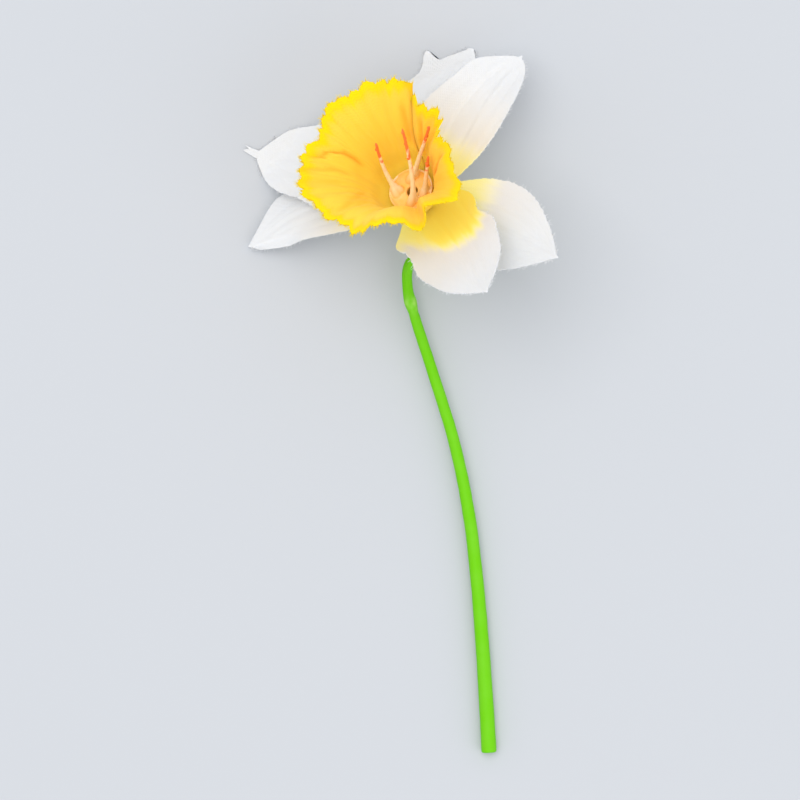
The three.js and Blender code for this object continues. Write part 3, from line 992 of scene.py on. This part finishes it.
@dataclass(frozen=True)
class Trumpet:
    """The trumpet: a cup of woven cloth with one lapped seam.

    Its form is that of the solid. The rim is cut into uneven frayed scallops, the wall has
    fine radial pleats between its flutes, and a few deep folds. Each pull of the wall and
    each curl of the rim is a turn, its spread, and how far it goes out and up.
    """

    profile: Pairs = (
        (2.2, 1.45), (5.8, 1.45), (7.6, 4.6), (8.6, 10.0), (10.6, 15.4), (14.2, 20.6), (19.4, 26.2),
    )
    teeth: int = 34
    tooth_share: float = 0.04
    flutes: int = 11
    flute_depth: float = 0.9
    ruffles: int = 5
    ruffle_height: float = 1.1
    ruffle_phase: float = 1.3
    looseness: float = 2.5
    pulls: Moves = (
        (0.015, 0.035, -2.3, 1.2), (0.1, 0.05, -0.7, 0), (0.35, 0.05, -1.3, -0.6),
        (0.438, 0.022, -2.2, 0), (0.495, 0.035, 1.4, 0), (0.577, 0.025, 1.3, 0),
        (0.647, 0.02, -1.2, 0), (0.692, 0.015, 1.0, 0), (0.735, 0.03, -1.1, 1.4),
        (0.822, 0.018, 2.6, -2.4), (0.915, 0.05, 2.9, -3.0),
    )
    curls: Moves = (
        (0.71, 0.06, 1.3, -2.6), (0.785, 0.03, 0.8, -1.8), (0.61, 0.04, 0.3, -0.9),
        (0.885, 0.03, 1.2, -0.8), (0.965, 0.03, 0.2, -0.8), (0.185, 0.016, -1.9, -0.4),
        (0.225, 0.02, 1.0, 0.2), (0.325, 0.03, 0.9, 0.0),
    )
    curl_start: float = 0.8
    seam_at: float = 0.168
    seam_share: float = 0.085
    seam_reach: float = 0.45
    lap: float = 0.007
    lap_depth: float = 0.24
    folds: tuple[Fold, ...] = (
        Fold(
            ((0.6, 0.438), (0.72, 0.435), (0.82, 0.436), (0.87, 0.449), (0.92, 0.47)),
            0.7, 0.7, 0.5, 4.0, 0.7,
        ),
        Fold(((0.66, 0.497), (0.8, 0.49), (0.9, 0.503), (1.0, 0.509)), 0.8, 0.4, shade=0.3),
        Fold(((0.7, 0.533), (0.9, 0.533), (1.0, 0.533)), 0.8, 0.3, shade=0.2),
        Fold(((0.5, 0.541), (0.68, 0.592), (0.82, 0.618), (0.88, 0.625)), 0.9, 0.35, shade=0.22),
        Fold(((0.5, 0.57), (0.6, 0.6), (0.75, 0.63)), 0.9, 0.3, shade=0.12),
        Fold(((0.5, 0.191), (0.71, 0.198), (0.85, 0.205)), 0.9, shade=0.45),
        Fold(((0.5, 0.124), (0.78, 0.124), (0.89, 0.135)), shade=0.45),
        Fold(((0.55, 0.96), (0.76, 0.968), (0.88, 0.982)), shade=0.7),
        Fold(((0.7, 0.835), (0.91, 0.836), (1.0, 0.84)), 0.9, 0.6, 0.5, shade=0.3),
    )
    pleats: int = 31
    pleat_depth: float = 0.05
    deeper_pleats: tuple[Patch, ...] = (
        Patch(0.53, 0.08, 0.16), Patch(0.08, 0.07, 0.18), Patch(0.9, 0.06, 0.12),
    )
    rim_dye: float = 0.3
    # Painted light: the throat and the low wall round turn 0.72 are painted lighter, against the shade in
    # them.
    throat_painted_light: float = 0.7
    low_wall_painted_light: Patch = Patch(0.72, 0.13, 0.3)
    # The wall is painted more orange round this turn, towards the rim.
    orange_near_rim: Patch = Patch(-0.05, 0.07, 0.18)
    # The edge of the lapped seam is painted orange, as the shade along the lap.
    seam_painted_shade: float = 0.5
    hem_share: float = 0.022
    weave_bias: float = math.radians(-22)
    weave_foot_mm: float = 4.0
    weave_wall_mm: float = 36.0
    streak_radius: float = 14.0
    edge_starts: float = 0.91
    edge_dyed: float = 0.985
    columns: int = 640
    rows: int = 68
    cloth_mm: float = 0.32
    edge_taper: float = 0.004
    thinnest: float = 0.12
    seed: float = 11.0

    def tooth(self, turn: float) -> float:
        """Finds how much of the wall is cut away, between and within the scallops.

        Args:
            turn: The turn round the axis.

        Returns:
            The share of the wall that is cut away.
        """
        beat = self.teeth * turn + 0.3 * grain(turn * 23, 0.7, self.seed)
        number = math.floor(beat)
        cut = abs(2 * (beat - number) ** 0.75 - 1)
        size = 0.75 + 0.9 * grain(number * 1.7, 0.4, self.seed)
        fray = 0.16 * abs(2 * ((4.7 * beat) % 1.0) - 1) + 0.3 * grain(beat * 5.0, 0.0, self.seed + 1)
        return self.tooth_share * (cut * size + fray)

    def pleat(self, turn: float, along: float) -> float:
        """Finds how far the fine pleats stand off the wall.

        Args:
            turn: The turn round the axis.
            along: The share up the wall.

        Returns:
            The distance in millimetres.
        """
        depth = self.pleat_depth + sum(patch.share(turn) for patch in self.deeper_pleats)
        wander = 0.8 * grain(turn * 9, along * 2, self.seed)
        lift = depth * math.sin(FULL_TURN * (self.pleats * turn + wander))
        return lift + 0.16 * grain(turn * 60, along * 1.5, self.seed + 3)

    def crumple(self, turn: float, along: float, radius: float) -> float:
        """Finds how far pleats and folds stand off the wall, the same on both laps.

        Args:
            turn: The turn round the axis.
            along: The share up the wall.
            radius: The wall's radius there.

        Returns:
            The distance in millimetres.
        """
        lift = self.pleat(turn, along)
        if turn > 1.0:
            nearing = smooth_step(1.0 + self.seam_at - 0.09, 1.0 + self.seam_at, turn)
            lift = mix(lift, self.pleat(turn - 1, along), nearing)
        lift *= smooth_step(0.3, 0.9, along)
        return lift + sum(fold.effect(turn, along, radius)[0] for fold in self.folds)

    def place(self, u: float, along: float) -> Vector:
        """Finds a point of the cloth.

        Args:
            u: The place round the cloth, from 0 at the seam to 1 at the end of its lap.
            along: The share up the wall.

        Returns:
            The point, in millimetres.
        """
        turn = self.seam_at + u * (1 + self.lap)
        angle = FULL_TURN * turn
        past_seam = ((self.seam_at - turn) % 1.0) / self.seam_reach
        short = self.seam_share * (max(1 - past_seam, 0.0) if u < 1 / (1 + self.lap) else 1.0)
        share = along * (1 - self.tooth(turn) - short)
        spot = profile_point(self.profile, share)
        ahead = profile_point(self.profile, min(share + 0.01, 1.0))
        slope = (ahead - profile_point(self.profile, share - 0.01)).normalized()
        out = self.flute_depth * math.cos(self.flutes * angle)
        rise = self.ruffle_height * math.cos(self.ruffles * angle + self.ruffle_phase)
        lapped = self.lap_depth * (smooth_step(0.97, 1.0, u) - 0.5 * smooth_step(0.03, 0.0, u))
        lapped *= smooth_step(0.1, 0.4, along)
        curled = (max(share / (1 - short) - self.curl_start, 0.0) / (1 - self.curl_start)) ** 2
        for moves, strength in ((self.pulls, 1.0), (self.curls, curled)):
            for at, spread, move_out, move_up in moves:
                near = bell(past_turn(turn, at), spread) * strength
                out += move_out * near
                rise += move_up * near
        off = self.crumple(turn, along, spot.x)
        loose = along**self.looseness
        radius = spot.x + loose * out + lapped - off * slope.z
        level = spot.z + loose * rise + off * slope.x
        return HEAD @ (Matrix.Rotation(angle, 3, "Z") @ Vector((radius, 0.0, level)))

    def dress(self, shape: Shape) -> None:
        """Writes what the cloth's material reads to the shape's points.

        Args:
            shape: The cup, with its layers u and v.
        """
        at_u, at_v = shape.verts.layers.float["u"], shape.verts.layers.float["v"]
        weave, blade, dye, blush = cloth_layers(shape)
        for vert in shape.verts:
            along = vert[at_v]
            turn = self.seam_at + vert[at_u] * (1 + self.lap)
            angle = FULL_TURN * turn
            length = self.weave_foot_mm + self.weave_wall_mm * along
            vert[weave] = Matrix.Rotation(angle + self.weave_bias, 3, "Z") @ Vector((length, 0.0, 0.0))
            vert[blade] = Vector((angle * self.streak_radius, length, self.seed))
            ragged = 0.012 * grain(turn * 60, 0.0, self.seed + 6)
            edge = smooth_step(self.edge_starts, self.edge_dyed, along + ragged)
            # Painted light: the low wall and the throat get lighter colours, against the shade that falls in
            # them.
            full = self.rim_dye + self.low_wall_painted_light.share(turn)
            vert[dye] = mix(full + self.throat_painted_light * smooth_step(0.75, 0.2, along), 0.0, edge)
            radius = profile_point(self.profile, along).x
            # Painted shade in the grooves of the folds.
            fold_shade_and_orange = sum(fold.effect(turn, along, radius)[1] for fold in self.folds)
            # The wall is painted more orange round one turn, towards the rim.
            fold_shade_and_orange += self.orange_near_rim.share(turn) * smooth_step(0.98, 0.85, along)
            # Painted shade: the edge of the lapped seam is painted orange, as the shade along the lap.
            seam_shade = self.seam_painted_shade * smooth_step(self.hem_share, 0.0, vert[at_u])
            vert[blush] = min(fold_shade_and_orange + seam_shade * smooth_step(0.25, 0.6, along), 1.0)

    def build(self, cloth: Material) -> None:
        """Makes the trumpet, and thins the inner edge of its lap, so that the seam lies flat.

        Args:
            cloth: The material of the trumpet.
        """
        shape = warped_grid(self.columns, self.rows, self.place)
        self.dress(shape)
        piece = finish_piece(
            "trumpet_cloth", shape, cloth, ["trumpet"], self.cloth_mm
        )
        full = piece.vertex_groups.new(name="full_cloth")
        for index, place in enumerate(piece.data.attributes["u"].data):
            full.add([index], smooth_step(0.0, self.edge_taper, place.value), "REPLACE")
        wall = piece.modifiers["wall"]
        wall.vertex_group = full.name
        wall.thickness_vertex_group = self.thinnest


@dataclass(frozen=True)
class Prong:
    """One prong of the insert: its angle round the axis, its bow outwards, its tip and sway."""

    angle: float
    bow: float
    tip: tuple[float, float, float]
    sway: float = 0.0
    foot_radius: float = 3.4
    foot_level: float = 2.5
    knee_at: float = 0.4
    steps: int = 60

    def path(self) -> list[Vector]:
        """Draws the prong's middle line.

        Returns:
            Its points, from the foot to the tip.
        """
        angle = math.radians(self.angle)
        outward = Vector((math.cos(angle), math.sin(angle), 0))
        foot = outward * self.foot_radius + UP * self.foot_level
        tip = Vector(self.tip)
        knee = foot.lerp(tip, self.knee_at) + outward * self.bow + UP.cross(outward) * self.sway
        shares = (step / self.steps for step in range(self.steps + 1))
        return [foot.lerp(knee, share).lerp(knee.lerp(tip, share), share) for share in shares]


@dataclass(frozen=True)
class Stamens:
    """The moulded insert: a saucer on a hollow shank, with four prongs and their anthers."""

    saucer: Pairs = (
        (0.0, -3.5), (1.4, -3.5), (1.4, 2.7), (1.6, 2.9), (4.6, 2.95), (5.1, 3.4), (5.3, 3.85),
        (5.6, 3.8), (5.5, 3.0), (4.8, 2.1), (1.9, 2.1), (1.9, -7.5), (1.1, -7.5), (1.1, -10.2),
        (0.0, -10.3),
    )
    prongs: tuple[Prong, ...] = (
        Prong(180, 1.75, (-2.8, 5.6, 20.0)),
        Prong(270, 1.5, (5.8, 5.6, 25.0), sway=1.9),
        Prong(90, 0.25, (12.4, 5.5, 24.0)),
        Prong(342, -0.25, (10.6, -0.2, 20.0)),
    )
    prong_foot_radius: float = 0.9
    prong_tip_radius: float = 0.33
    anthers: tuple[float, ...] = (0.58, 0.69, 0.76, 0.84, 0.9, 0.96)
    anther_smallest: float = 0.32
    anther_largest: float = 0.48
    anther_stray: float = 0.22
    painted_pit_shade_radius: float = 1.7
    saucer_top: float = 3.5
    ripe_from: float = 0.66
    ripe_to: float = 0.8
    blotch_share: float = 0.16
    pale_share: float = 0.9
    voxel_mm: float = 0.16
    seed: int = 5

    def prong_width(self, share: float, turn: float) -> float:
        """Finds a prong's radius.

        Args:
            share: The share of its height.
            turn: The turn round it.

        Returns:
            The radius in millimetres.
        """
        wide = mix(self.prong_foot_radius, self.prong_tip_radius, share**0.6)
        foot = 1.1 * bell(share, 0.15) * abs(math.cos(FULL_TURN * turn))
        uneven = 0.08 * grain(share * 22, math.cos(FULL_TURN * turn), 2.0)
        return wide * smooth_step(1.02, 0.97, share) + foot + uneven

    def build(self, plastic: Material) -> None:
        """Makes the insert as one skin.

        Args:
            plastic: The material of the insert.
        """
        draws = random.Random(self.seed)
        shape = spun(self.saucer)
        whole = bpy.data.meshes.new("insert_parts")
        paths = [prong.path() for prong in self.prongs]
        for path in paths:
            bar = rod(path, self.prong_width, 20)
            bar.to_mesh(whole)
            bar.free()
            shape.from_mesh(whole)
            for share in self.anthers:
                spot = path[round(share * (len(path) - 1))]
                stray = Vector([draws.uniform(-self.anther_stray, self.anther_stray) for _ in range(3)])
                size = draws.uniform(self.anther_smallest, self.anther_largest)
                bmesh.ops.create_icosphere(
                    shape, subdivisions=2, radius=size, matrix=Matrix.Translation(spot + stray)
                )
        bpy.data.meshes.remove(whole)
        bmesh.ops.transform(shape, matrix=HEAD, verts=shape.verts)
        piece = finish_piece("stamen_insert", shape, plastic, ["stamens"])
        fused = piece.modifiers.new("fused", "REMESH")
        fused.mode = "VOXEL"
        fused.voxel_size = self.voxel_mm * MM
        fused.use_smooth_shade = True
        eased = piece.modifiers.new("eased", "SMOOTH")
        eased.factor = 0.5
        eased.iterations = 2
        baked = bpy.data.meshes.new_from_object(
            piece.evaluated_get(bpy.context.evaluated_depsgraph_get())
        )
        piece.modifiers.clear()
        piece.data = baked
        self.ripen(baked, paths)

    def ripen(self, mesh: bpy.types.Mesh, paths: Sequence[Sequence[Vector]]) -> None:
        """Writes how ripe and pale the insert's skin is, from the nearest prong, and the painted shade in its
        bore.

        Args:
            mesh: The insert's mesh, in metres.
            paths: The middle lines of the prongs, in the head's own frame.
        """
        names = ("ripe", "pale", "pit")
        for name in names:
            mesh.attributes.new(name, "FLOAT", "POINT")
        ripe, pale, pit = (mesh.attributes[name].data for name in names)
        stations = [
            (point, index / (len(path) - 1)) for path in paths for index, point in enumerate(path)
        ]
        for index, vert in enumerate(mesh.vertices):
            spot = HEAD_INVERSE @ (vert.co / MM)
            # Painted shade: the bore's wall is painted darker brown towards its floor.
            if math.hypot(spot.x, spot.y) < self.painted_pit_shade_radius:
                pit[index].value = smooth_step(2.7, 1.7, spot.z)
            if spot.z < self.saucer_top:
                continue
            near, share = min(stations, key=lambda station: (station[0] - spot).length_squared)
            away = (near - spot).length
            blotch = self.blotch_share * grain(spot.x * 0.9, spot.z * 0.9, 4.0)
            bump = smooth_step(0.42, 0.62, away) * smooth_step(0.5, 0.6, share)
            tipped = smooth_step(self.ripe_from, self.ripe_to, share + blotch)
            ripe[index].value = min(tipped + bump, 1.0)
            pale[index].value = self.pale_share * smooth_step(0.0, 0.2, share)


@dataclass(frozen=True)
class Calyx:
    """The calyx: a moulded cup with six pointed lobes behind the petals."""

    profile: Pairs = (
        (2.2, -7.4), (3.0, -7.4), (3.8, -5.2), (4.8, -3.2), (7.4, -1.5),
    )
    lobes: int = 6
    notch: float = 0.72
    rib_mm: float = 0.14
    columns: int = 192
    rows: int = 36
    wall_mm: float = 0.7

    def place(self, u: float, along: float) -> Vector:
        """Finds a point of the cup.

        Args:
            u: The turn round the axis.
            along: The share of the way up the cup.

        Returns:
            The point, in millimetres.
        """
        beat = self.lobes * u
        lobe = 1 - abs(2 * (beat - math.floor(beat)) - 1)
        spot = profile_point(self.profile, along * mix(self.notch, 1.0, lobe**0.8))
        rib = self.rib_mm * bell(1 - lobe, 0.18) * smooth_step(0.3, 0.6, along)
        return HEAD @ (Matrix.Rotation(FULL_TURN * u, 3, "Z") @ (spot + Vector((rib, 0.0, -rib))))

    def build(self, plastic: Material) -> None:
        """Makes the calyx.

        Args:
            plastic: The material of the calyx.
        """
        shape = warped_grid(self.columns, self.rows, self.place)
        bmesh.ops.remove_doubles(shape, verts=shape.verts, dist=MERGE_DISTANCE)
        ripe = shape.verts.layers.float.new("ripe")
        at_v = shape.verts.layers.float["v"]
        for vert in shape.verts:
            vert[ripe] = 0.5 * smooth_step(0.5, 0.0, vert[at_v])
        finish_piece("calyx_cup", shape, plastic, ["calyx"], self.wall_mm)


@dataclass(frozen=True)
class Collar:
    """The collar: a short sleeve with eased ends and a faint moulded band."""

    outline: Pairs = (
        (1.4, -13.1), (2.2, -13.1), (2.5, -13.0), (2.6, -12.7), (2.6, -11.4), (2.52, -11.25),
        (2.52, -10.95), (2.6, -10.8), (2.6, -8.5), (2.5, -8.2), (2.2, -8.1), (1.4, -8.1),
        (1.4, -13.1),
    )

    def build(self, plastic: Material) -> None:
        """Makes the collar.

        Args:
            plastic: The material of the collar.
        """
        shape = spun(self.outline)
        bmesh.ops.transform(shape, matrix=HEAD, verts=shape.verts)
        finish_piece("collar_sleeve", shape, plastic, ["collar"])


@dataclass(frozen=True)
class Stem:
    """The stem: a plastic rod with a knot below the head, cut square at its end.

    Its route is places beside the hub, seen from above, each with its height.
    """

    route: tuple[tuple[float, float, float], ...] = (
        (4.6, -8.6, 7.6), (1.0, -12.4, 5.9), (-1.8, -16.6, 5.3), (-2.0, -22.0, 4.9),
        (-0.7, -27.5, 4.6), (4.3, -43.1, 3.8), (9.5, -60.0, 3.3), (13.0, -76.8, 2.8),
        (15.1, -93.4, 2.4), (16.5, -110.0, 2.1), (17.5, -125.0, 1.83), (18.2, -137.0, 1.83),
    )
    neck_radius: float = 1.25
    cut_radius: float = 1.9
    cut_ease: float = 0.25
    taper_power: float = 1.5
    knot_radius: float = 1.6
    knot_at: float = 0.183
    knot_spread: float = 0.012
    pinch: float = 0.12
    unevenness: float = 0.05
    top_level: float = -13.4
    neck_length: float = 2.6
    steps: int = 420
    sides: int = 28

    def radius(self, along: float, turn: float) -> float:
        """Finds the stem's radius.

        Args:
            along: The share of its length.
            turn: The turn round it.

        Returns:
            The radius in millimetres.
        """
        plain = mix(self.neck_radius, self.cut_radius, along**self.taper_power)
        knot = (self.knot_radius - plain) * bell(along - self.knot_at, self.knot_spread)
        pinch = self.pinch * bell(along - self.knot_at - 0.02, 0.006)
        uneven = self.unevenness * grain(along * 60, 0.7 * math.cos(FULL_TURN * turn), 8.0)
        return plain + knot - pinch + uneven - self.cut_ease * smooth_step(0.998, 1.0, along)

    def build(self, plastic: Material) -> None:
        """Makes the stem.

        Args:
            plastic: The material of the stem.
        """
        neck = [HEAD @ (UP * (self.top_level - drop)) for drop in (0.0, self.neck_length)]
        run = [Vector((HUB.x + x, HUB.y + y, height)) for x, y, height in self.route]
        shape = rod(centripetal_path(neck + run, self.steps), self.radius, self.sides)
        pale = shape.verts.layers.float.new("pale")
        at_v = shape.verts.layers.float["v"]
        for vert in shape.verts:
            vert.co.z = max(vert.co.z, 0.0)
            # Painted highlight: a blotchy paler band round the knot.
            blotch = 0.5 + 0.8 * grain(vert.co.x, vert.co.y, vert.co.z)
            vert[pale] = blotch * bell(vert[at_v] - self.knot_at - 0.004, 0.013)
        finish_piece("stem_rod", shape, plastic, ["stem"])


@dataclass(frozen=True)
class Fray:
    """The loose thread ends along cut edges of cloth, with their least and greatest lengths.

    They point away from the cloth, but also run along its edge and stray from their way.
    """

    threads: int
    lengths: tuple[float, float]
    run: tuple[float, float]
    stray: float
    thread_mm: float = 0.065
    end_share: float = 0.4
    sunk_mm: float = 0.15

    def add(self, shape: Shape, draws: random.Random, spots: Sequence[Vector]) -> None:
        """Adds one thread end.

        Args:
            shape: The shape that gets the thread.
            draws: The source of random numbers.
            spots: Four points of the cloth: the thread's foot at the edge, one further in,
                one ahead along the edge and one behind.
        """
        foot, inner, ahead, behind = spots
        way = (foot - inner).normalized() + (ahead - behind).normalized() * draws.uniform(*self.run)
        way += Vector([draws.uniform(-self.stray, self.stray) for _ in range(3)])
        way.normalize()
        length = draws.uniform(*self.lengths)
        lean = way.to_track_quat("Z", "Y").to_matrix().to_4x4()
        bmesh.ops.create_cone(
            shape,
            cap_ends=True,
            segments=4,
            radius1=self.thread_mm,
            radius2=self.thread_mm * self.end_share,
            depth=length,
            matrix=Matrix.Translation(foot + way * (length / 2 - self.sunk_mm)) @ lean,
        )

    def along_petal(self, shape: Shape, draws: random.Random, petal: Petal) -> None:
        """Adds thread ends along the outline of a petal, most of them near its tip.

        Args:
            shape: The shape that gets the threads.
            draws: The source of random numbers.
            petal: The petal.
        """
        for _ in range(self.threads):
            edge = draws.choice((0.0, 1.0))
            along = petal.blade_share * (1 - draws.random() ** 1.5 * 0.7)
            places = ((edge, 0.0), (0.85 if edge else 0.15, 0.0), (edge, 0.01), (edge, -0.01))
            self.add(shape, draws, [petal.place(u, along + ahead) for u, ahead in places])

    def along_rim(self, shape: Shape, draws: random.Random, trumpet: Trumpet) -> None:
        """Adds thread ends along the rim of the trumpet.

        Args:
            shape: The shape that gets the threads.
            draws: The source of random numbers.
            trumpet: The trumpet.
        """
        for _ in range(self.threads):
            u = draws.random()
            places = ((u, 1.0), (u, 0.96), (min(u + 0.002, 1.0), 0.96), (u - 0.002, 0.96))
            self.add(shape, draws, [trumpet.place(*place) for place in places])

    @staticmethod
    def dress(shape: Shape) -> None:
        """Gives thread ends what their cloth's edge has, and keeps them above the floor.

        Args:
            shape: The threads.
        """
        weave, blade, _, _ = cloth_layers(shape)
        for vert in shape.verts:
            vert.co.z = max(vert.co.z, 0.0)
            vert[weave] = vert[blade] = vert.co


PETAL_FRAY = Fray(130, (0.35, 1.25), run=(-0.2, 1.1), stray=0.25)
TRUMPET_FRAY = Fray(760, (0.4, 1.3), run=(-0.9, 0.9), stray=0.2)
FRAY_SEED = 21


def build_fray(trumpet: Trumpet, petal_cloth: Material, trumpet_cloth: Material) -> None:
    """Makes the two pieces of thread ends.

    Args:
        trumpet: The trumpet.
        petal_cloth: The petals' material.
        trumpet_cloth: The trumpet's material.
    """
    draws = random.Random(FRAY_SEED)
    whites, golds = bmesh.new(), bmesh.new()
    for petal in PETALS:
        PETAL_FRAY.along_petal(whites, draws, petal)
    TRUMPET_FRAY.along_rim(golds, draws, trumpet)
    Fray.dress(whites)
    Fray.dress(golds)
    finish_piece("petal_threads", whites, petal_cloth, [])
    finish_piece("trumpet_threads", golds, trumpet_cloth, [])


@dataclass(frozen=True)
class Studio:
    """A pale floor, soft lights and a camera that looks straight down on the flower."""

    floor_colour: str = "#bdbfc2"
    floor_size_m: float = 6.0
    camera_height_m: float = 0.95
    lens_mm: float = 172.0
    sky_colour: str = "#eef1f6"
    sky_strength: float = 1.03
    light_size_m: float = 1.1
    key_watts: float = 9.8
    key_place: tuple[float, float, float] = (-0.2, 0.22, 1.35)
    fill_watts: float = 2.8
    fill_place: tuple[float, float, float] = (0.7, -0.6, 0.7)

    def light(self, name: str, place: Sequence[float], watts: float) -> None:
        """Adds a soft square light that faces the flower.

        Args:
            name: The light's name.
            place: Where it hangs, in metres.
            watts: Its power.
        """
        lamp = bpy.data.lights.new(name, "AREA")
        lamp.size = self.light_size_m
        lamp.energy = watts
        holder = add_object(name, lamp)
        holder.location = place
        holder.rotation_euler = (-Vector(place)).to_track_quat("-Z", "Y").to_euler()

    def floor(self) -> None:
        """Lays the floor."""
        shape = bmesh.new()
        bmesh.ops.create_grid(shape, x_segments=1, y_segments=1, size=self.floor_size_m / 2)
        mesh = bpy.data.meshes.new("floor")
        shape.to_mesh(mesh)
        shape.free()
        card = bpy.data.materials.new("matt_card")
        card.use_nodes = True
        shader = card.node_tree.nodes["Principled BSDF"]
        shader.inputs["Base Color"].default_value = to_linear(self.floor_colour)
        shader.inputs["Roughness"].default_value = 0.9
        shader.inputs["Specular IOR Level"].default_value = 0.1
        mesh.materials.append(card)
        floor = add_object("floor", mesh)

    def build(self) -> None:
        """Makes the floor, the lights and the camera."""
        self.floor()
        self.light("key", self.key_place, self.key_watts)
        self.light("fill", self.fill_place, self.fill_watts)
        world = bpy.data.worlds.new("studio")
        bpy.context.scene.world = world
        world.use_nodes = True
        sky = world.node_tree.nodes["Background"]
        sky.inputs["Color"].default_value = to_linear(self.sky_colour)
        sky.inputs["Strength"].default_value = self.sky_strength
        lens = bpy.data.cameras.new("camera")
        lens.lens = self.lens_mm
        lens.clip_start = 0.01
        camera = add_object("camera", lens)
        camera.location = (0.0, 0.0, self.camera_height_m)
        bpy.context.scene.camera = camera
        bpy.context.scene.view_settings.view_transform = "Standard"


def main() -> None:
    """Builds the flower and its setting."""
    logging.basicConfig(level=logging.INFO)
    Studio().build()
    petal_cloth, trumpet_cloth = PETAL_CLOTH.build(), TRUMPET_CLOTH.build()
    for petal in PETALS:
        petal.build(petal_cloth)
    trumpet = Trumpet()
    trumpet.build(trumpet_cloth)
    Stamens().build(STAMEN_PLASTIC.build())
    Calyx().build(CALYX_PLASTIC.build())
    Collar().build(COLLAR_PLASTIC.build())
    Stem().build(STEM_PLASTIC.build())
    build_fray(trumpet, petal_cloth, trumpet_cloth)


if __name__ == "__main__":
    main()
